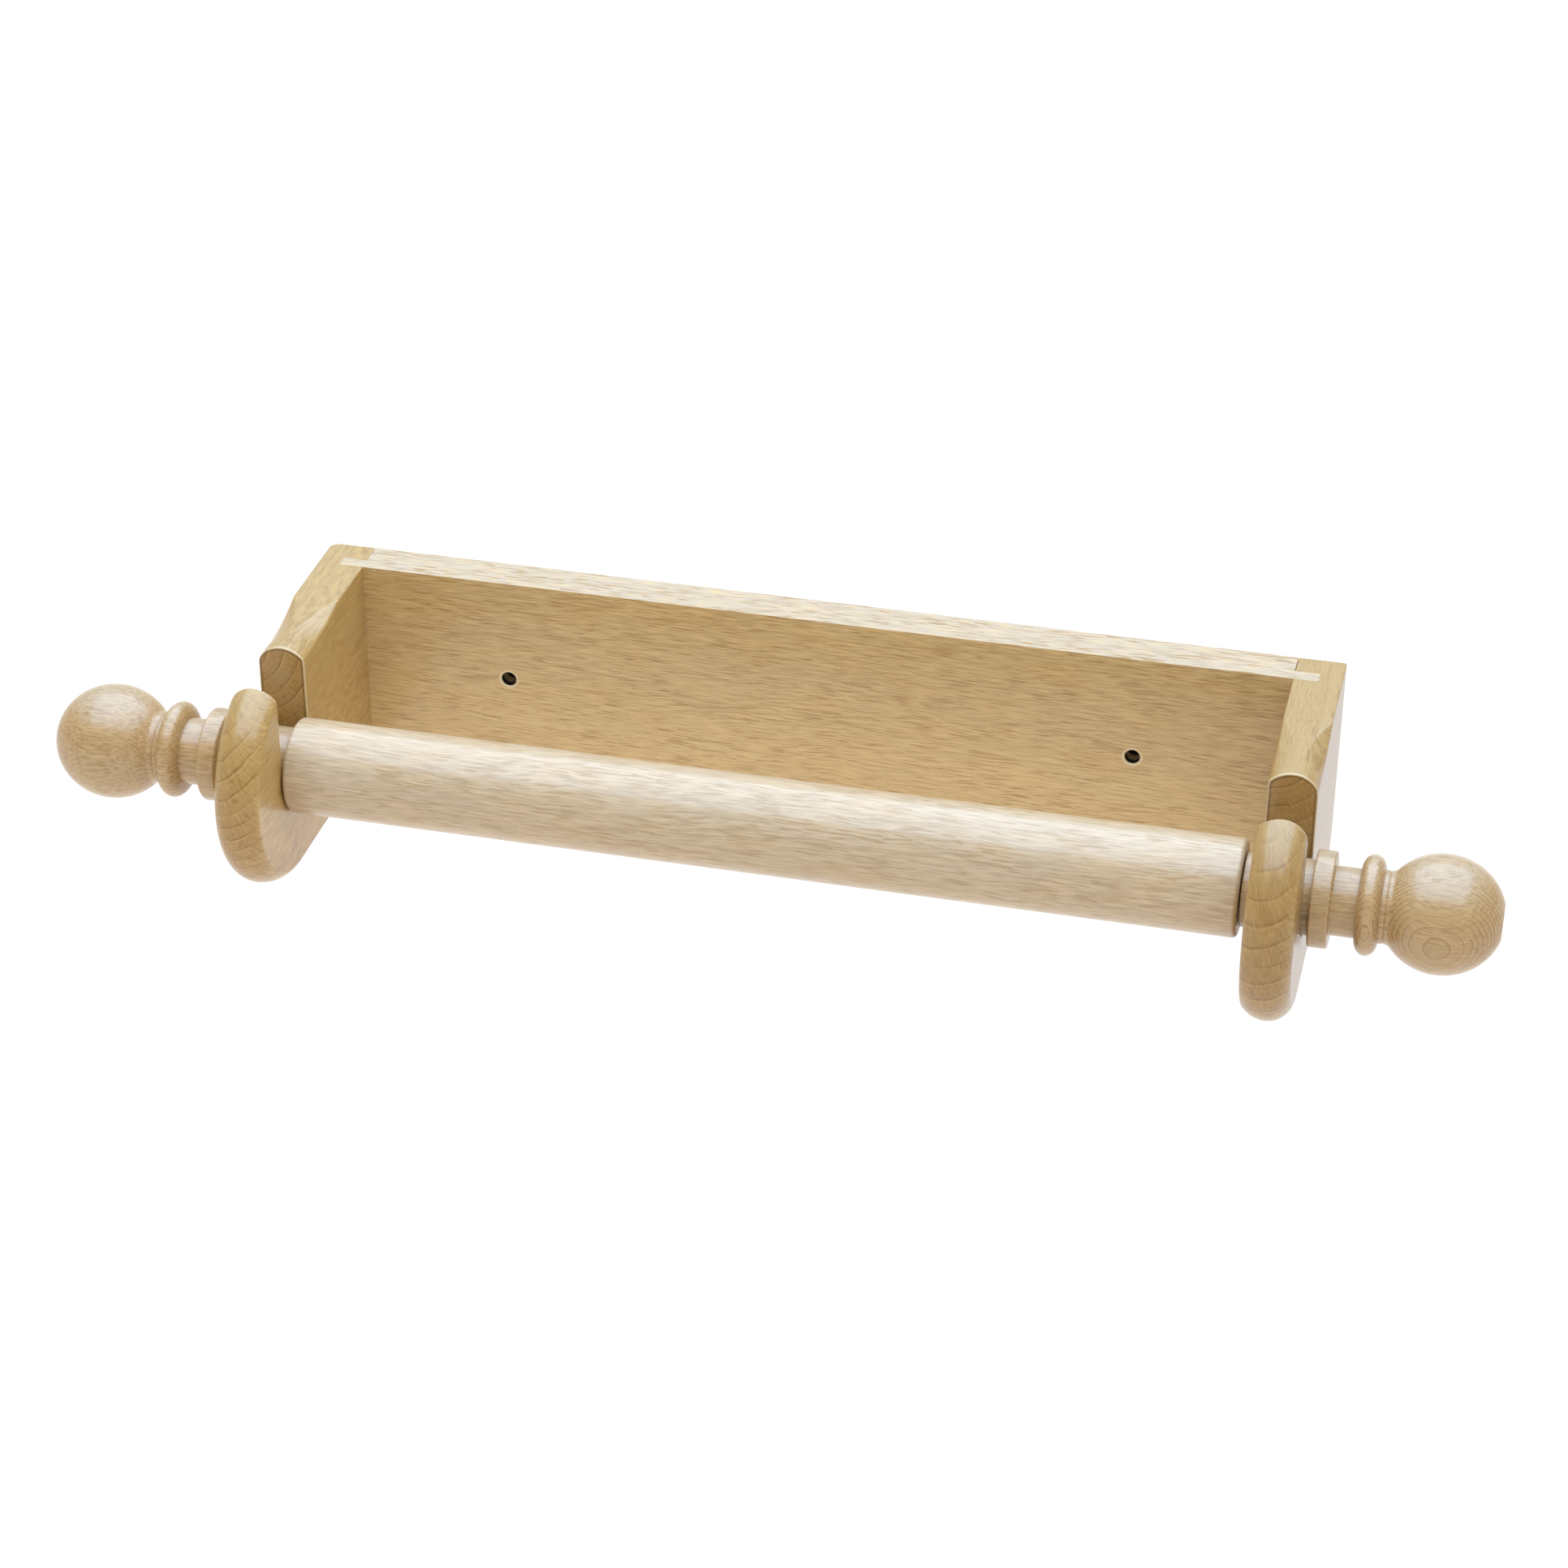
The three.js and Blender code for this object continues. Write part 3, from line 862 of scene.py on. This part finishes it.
def board_painted_light(graph, spot, colour, base):
    """Painted light: a front that pales towards the bottom as if lit from below, and painted highlights on
    the top and bottom edges.
    """
    # Painted light from below: the front pales towards the bottom.
    colour = graph.mix(graph.between(spot.z, BOTTOM, TOP, 0.5, 0.0), colour, shade(base, 1.25))
    # Painted highlight where the surface faces up or down.
    edge_highlight_on = graph.between(graph.math("ABSOLUTE", spot.facing_z), 0.6, 0.95, 0.0, 0.75)
    return graph.mix(edge_highlight_on, colour, EDGE_HIGHLIGHT_TONE)


def hole_marks(graph, spot, colour, base):
    """A pale ring round each screw hole's mouth."""
    beside = graph.math("SUBTRACT", graph.math("ABSOLUTE", spot.x), HOLE_FROM_MIDDLE)
    above = graph.math("SUBTRACT", spot.z, HOLE_Z)
    from_hole = graph.length(graph.vector(beside, above, 0.0))
    ring = graph.between(from_hole, HOLE_RADIUS + 0.6, HOLE_RADIUS + 0.9, 0.85, 0.0)
    return graph.mix(ring, colour, PALE_RIM_TONE)


def bracket_tone(stain, outer_shade_share=0.0):
    """Painted highlights on the top edges, brown streaks of the given strength, and painted shade on the
    face to the right.
    """

    def tone(graph, spot, colour, base):
        place = stretched(graph, spot, 45, 1.6, stain)
        share = graph.between(graph.noise(place, 1.0), 0.6, 0.72, 0.0, stain)
        colour = graph.mix(share, colour, shade(base, 0.62, warm=0.25))
        # Painted shade on the face to the right.
        outer_shade_on = graph.between(spot.facing_x, 0.85, 0.98, 0.0, outer_shade_share)
        colour = graph.mix(outer_shade_on, colour, shade(base, 0.5))
        # Painted highlight where the surface faces up.
        highlight_on = graph.between(spot.facing_z, 0.6, 0.95, 0.0, 0.6)
        return graph.mix(highlight_on, colour, ARM_TOP_HIGHLIGHT_TONE)

    return tone


def heart_streak(graph, spot, colour, base):
    """A warmer, browner band along the piece above its axis, and paler wood below it, with a painted
    highlight on top.
    """
    height = graph.math("SUBTRACT", spot.z, AXIS_Z)
    streak = graph.math("MULTIPLY", graph.between(height, 3, 6), graph.between(height, 11, 13.5, 0.55, 0.0))
    colour = graph.mix(streak, colour, shade(base, 0.86, warm=0.12))
    sapwood = graph.between(height, -4, 4, 0.6, 0.0)
    colour = graph.mix(sapwood, colour, shade(base, 1.16, warm=-0.06))
    # Painted highlight on top.
    return painted_top_highlight(graph, spot, colour, base)


def painted_top_highlight(graph, spot, colour, base):
    """Painted highlight: cooler and paler colour where the surface faces up."""
    highlight_on = graph.between(spot.facing_z, 0.6, 0.95, 0.0, 0.6)
    return graph.mix(highlight_on, colour, FINIAL_TOP_HIGHLIGHT_TONE)


def slot_marks(graph, spot, colour, base):
    """The slot's edges: a painted highlight along the outside, and darker just inside them."""
    below_axis = graph.math("MINIMUM", graph.math("SUBTRACT", spot.z, AXIS_Z), 0.0)
    behind_axis = graph.math("SUBTRACT", spot.y, AXIS_Y)
    from_middle = graph.length(graph.vector(0.0, behind_axis, below_axis))
    facing_slot = graph.math("ABSOLUTE", spot.facing_y)

    # Painted highlight along the slot's eased rim.
    near = graph.between(from_middle, SLOT_RADIUS + ARRIS, SLOT_RADIUS + ARRIS + 0.15, 1.0, 0.0)
    rim = graph.math("MULTIPLY", near, graph.between(facing_slot, 0.9, 0.98, 0.6, 0.0))
    colour = graph.mix(rim, colour, PALE_RIM_TONE)

    border = graph.between(depth_in_slot_wall(graph, spot), ARRIS + 0.1, ARRIS + 0.6, 0.7, 0.0)
    inside = graph.between(facing_slot, 0.96, 0.99)
    in_slot = graph.between(from_middle, SLOT_RADIUS + 0.1, SLOT_RADIUS + 0.2, 1.0, 0.0)
    border = graph.math("MULTIPLY", border, graph.math("MULTIPLY", inside, in_slot))
    return graph.mix(border, colour, shade(base, 0.3, warm=0.2))


def depth_in_slot_wall(graph, spot):
    """How far in a point lies from the bracket's faces and from its crowned top edge."""
    radius = crown_radius(OUTER_DROP)
    off_middle = graph.math("SUBTRACT", graph.math("ABSOLUTE", spot.x), BRACKET_MIDDLE)
    squares = graph.math("SUBTRACT", radius**2, graph.math("POWER", off_middle, 2.0))
    crown = graph.math("ADD", graph.math("SQRT", squares), TOP - radius)
    below_crown = graph.math("SUBTRACT", crown, spot.z)
    from_face = graph.math("SUBTRACT", BRACKET_HALF, graph.math("ABSOLUTE", off_middle))
    return graph.math("MINIMUM", below_crown, from_face)


def bracket_beech(name, pith, ring_width, base, rings, seed, tone):
    """Beech with its grain running out from the wall, and marks along the slot."""
    return beech(
        name,
        grain="Y",
        pith=pith,
        ring_width=ring_width,
        base=base,
        rings=rings,
        rays=0.55,
        dash=(4.5, 3.2, 0.42),
        seed=seed,
        tone=tone,
        marks=slot_marks,
    )


SHORT_DASH = (3.6, 1.3, 0.4)


def peg_beech(name, pith, seed):
    """Plain beech for a hidden peg."""
    return beech(
        name,
        grain="X",
        pith=pith,
        ring_width=2.0,
        base=FINIAL_TONE,
        rings=0.5,
        rays=0.3,
        dash=SHORT_DASH,
        seed=seed,
    )


MATERIALS = {
    "back_board": beech(
        "board_beech",
        grain="X",
        pith=(70, -10),
        ring_width=3.2,
        base=BOARD_TONE,
        rings=0.4,
        rays=0.95,
        dash=(6.5, 1.1, 0.42),
        seed=3.1,
        tone=board_painted_light,
        marks=hole_marks,
    ),
    "left_bracket": bracket_beech(
        "left_bracket_beech",
        pith=(-145, 32),
        ring_width=3.8,
        base=BRACKET_TONE,
        rings=0.75,
        seed=7.7,
        tone=bracket_tone(0.7),
    ),
    "right_bracket": bracket_beech(
        "right_bracket_beech",
        pith=(122, 40),
        ring_width=5.2,
        base=RIGHT_BRACKET_TONE,
        rings=0.65,
        seed=1.9,
        # 0.6 is the share of painted shade on the face to the right.
        tone=bracket_tone(0.4, 0.6),
    ),
    "roller_rod": beech(
        "rod_beech",
        grain="X",
        pith=(-35, -18),
        ring_width=2.6,
        base=ROD_TONE,
        rings=0.5,
        rays=0.65,
        dash=(6.5, 0.75, 0.32),
        seed=5.3,
    ),
    "left_finial": beech(
        "left_finial_beech",
        grain="X",
        pith=(-74, -55),
        ring_width=1.5,
        base=FINIAL_TONE,
        rings=0.7,
        rays=0.7,
        dash=(4.6, 0.6, 0.4),
        seed=9.2,
        tone=heart_streak,
    ),
    # Its pith lies in front of the ball, whose front the rings cross as ovals.
    "right_finial": beech(
        "right_finial_beech",
        grain="X",
        pith=(-162.6, -3),
        ring_width=1.1,
        base=FINIAL_TONE,
        rings=2.5,
        rays=0.5,
        dash=SHORT_DASH,
        seed=4.4,
        # Painted highlight on top.
        tone=painted_top_highlight,
    ),
    "left_peg": peg_beech("left_peg_beech", (-60, -20), 6.1),
    "right_peg": peg_beech("right_peg_beech", (-60, 22), 2.8),
}


def hole_painted_shade():
    """Painted shade on a screw hole's wall: black-brown, matt and uneven, with a painted patch of light
    halfway in.
    """
    graph = Graph("painted_hole_shade")
    place = graph.node("ShaderNodeTexCoord").outputs["Object"]
    fine_place = graph.node("ShaderNodeVectorMath", operation="SCALE")
    graph.feed(fine_place.inputs[0], place)
    fine_place.inputs["Scale"].default_value = 2 / MM
    blotches = graph.between(graph.noise(fine_place.outputs[0], 2.0), 0.4, 0.65)
    # Painted shade, near black in blotches.
    colour = graph.mix(blotches, shade(HOLE_SHADE_TONE, 0.5), HOLE_SHADE_TONE)
    depth = graph.math("SUBTRACT", graph.math("DIVIDE", graph.split(place)[1], MM), BOARD_FRONT)
    # Painted patch of light halfway into the hole.
    lit_band = graph.math("MULTIPLY", graph.between(depth, 1.6, 3.0), graph.between(depth, 4.0, 5.2, 1.0, 0.0))
    shader = graph.node("ShaderNodeBsdfPrincipled")
    graph.feed(shader.inputs["Base Color"], graph.mix(lit_band, colour, HOLE_LIGHT_TONE))
    graph.feed(shader.inputs["Roughness"], graph.between(blotches, 0.0, 1.0, 0.8, 0.95))
    shader.inputs["Specular IOR Level"].default_value = 0.15
    return graph.surface(shader)


def shade_holes(board):
    """Gives the walls of the board's screw holes their painted shade."""
    board.data.materials.append(hole_painted_shade())
    for face in board.data.polygons:
        x, y, z = face.center / MM
        from_hole = math.hypot(abs(x) - HOLE_FROM_MIDDLE, z - HOLE_Z)
        if from_hole < HOLE_RADIUS + HOLE_MOUTH / 3 and abs(face.normal.y) < 0.5:
            face.material_index = 1


# ---- The holder -------------------------------------------------------------


def put(piece, node, body):
    """Gives a fine piece its material, and puts it in its CAD node's place."""
    piece.data.materials.clear()
    piece.data.materials.append(MATERIALS[node])
    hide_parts(node)
    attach(piece, body)


def build_holder():
    board = build_board("board")
    put(board, "back_board", "frame")
    shade_holes(board)
    put(build_rod("rod"), "roller_rod", "spindle")
    for name, side in (("left", -1), ("right", 1)):
        put(build_bracket(f"{name}_side", side), f"{name}_bracket", "frame")
        put(build_finial(f"{name}_knob", side), f"{name}_finial", "spindle")
        put(build_peg(f"{name}_dowel", side), f"{name}_peg", "lift_carrier")


# ---- Floor, light and camera ------------------------------------------------

# In metres: the floor lies well below the holder, which hangs free.
FLOOR_Z = -0.32
FLOOR_HALF = 40.0


def build_floor():
    """A pale floor that glows a little, as a light table does."""
    mesh = bpy.data.meshes.new("floor")
    corners = [(-1, -1), (1, -1), (1, 1), (-1, 1)]
    vertices = [(FLOOR_HALF * x, FLOOR_HALF * y, FLOOR_Z) for x, y in corners]
    mesh.from_pydata(vertices, [], [(0, 1, 2, 3)])
    floor = bpy.data.objects.new("floor", mesh)
    bpy.context.scene.collection.objects.link(floor)
    graph = Graph("floor_light_table")
    shader = graph.node("ShaderNodeBsdfPrincipled")
    shader.inputs["Base Color"].default_value = (0.2, 0.2, 0.2, 1)
    shader.inputs["Roughness"].default_value = 1.0
    shader.inputs["Specular IOR Level"].default_value = 0.0
    shader.inputs["Emission Color"].default_value = (1, 0.96, 0.9, 1)
    shader.inputs["Emission Strength"].default_value = 0.9
    mesh.materials.append(graph.surface(shader))


def softbox(name, place, target, size, power, colour):
    """A rectangular soft light in metres and watts, turned to its target."""
    light = bpy.data.lights.new(name, "AREA")
    light.shape = "RECTANGLE"
    light.size, light.size_y = size
    light.energy = power
    light.color = colour
    lamp = bpy.data.objects.new(name, light)
    lamp.location = place
    lamp.rotation_euler = (Vector(target) - Vector(place)).to_track_quat("-Z", "Y").to_euler()
    bpy.context.scene.collection.objects.link(lamp)


def build_light():
    world = bpy.data.worlds.new("studio")
    bpy.context.scene.world = world
    world.use_nodes = True
    background = world.node_tree.nodes["Background"]
    background.inputs["Color"].default_value = (1.0, 0.94, 0.86, 1)
    background.inputs["Strength"].default_value = 0.55
    softbox(
        "overhead",
        place=(0, 0.28, 1.05),
        target=(0, 0.279, 0),
        size=(1.95, 2.02),
        power=34,
        colour=(0.7, 0.9, 1.23),
    )
    bpy.context.scene.view_settings.view_transform = "Standard"


CAMERA_TARGET = Vector((3.5, -61.5, 10.3)) * MM
CAMERA_DISTANCE = 0.9767  # metres
CAMERA_AZIMUTH = 13.5  # degrees to the right of straight in front
CAMERA_ELEVATION = 31.42
CAMERA_ROLL = 0.2
CAMERA_LENS = 88.5  # millimetres, like the sensor
CAMERA_SENSOR = 36


def build_camera():
    azimuth = math.radians(CAMERA_AZIMUTH)
    elevation = math.radians(CAMERA_ELEVATION)
    roll = math.radians(CAMERA_ROLL)
    back = Vector(
        (
            math.sin(azimuth) * math.cos(elevation),
            -math.cos(azimuth) * math.cos(elevation),
            math.sin(elevation),
        )
    )
    level_right = Vector((0, 0, 1)).cross(back).normalized()
    level_up = back.cross(level_right)
    right = level_right * math.cos(roll) + level_up * math.sin(roll)
    up = level_up * math.cos(roll) - level_right * math.sin(roll)
    data = bpy.data.cameras.new("camera")
    data.lens = CAMERA_LENS
    data.sensor_width = CAMERA_SENSOR
    data.clip_start = 0.05
    camera = bpy.data.objects.new("camera", data)
    camera.matrix_world = Matrix.Translation(CAMERA_TARGET + back * CAMERA_DISTANCE) @ Matrix(
        (right, up, back)
    ).transposed().to_4x4()
    bpy.context.scene.collection.objects.link(camera)
    bpy.context.scene.camera = camera


build_holder()
build_floor()
build_light()
build_camera()
